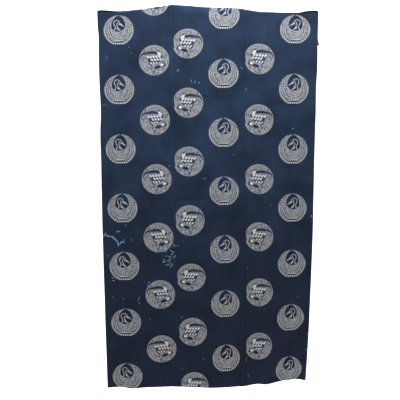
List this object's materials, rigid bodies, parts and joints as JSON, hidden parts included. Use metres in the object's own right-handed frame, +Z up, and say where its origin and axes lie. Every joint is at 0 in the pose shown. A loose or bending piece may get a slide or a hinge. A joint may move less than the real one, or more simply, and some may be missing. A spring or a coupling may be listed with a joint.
{
  "type": "katazome cloth",
  "caption": "Hung indigo cotton cloth of loom-width panels sewn side by side, with rows of paste-resist crane and turtle roundels, turned over at the top and hanging free to a rippled hem.",
  "frame": {"origin": "middle of the line that the cloth hangs over, inside its top fold, at the level of the cloth's top corners", "axes": "+Z up, +X to the right across the printed face, +Y from the printed face to the back, so the face looks to -Y"},
  "size_m": [0.997, 0.1608, 1.8149],
  "materials": {
    "indigo_cotton": "matte"
  },
  "bodies": {
    "root": {"panel_left": "indigo_cotton", "panel_middle": "indigo_cotton", "panel_right": "indigo_cotton"}
  },
  "joints": []
}
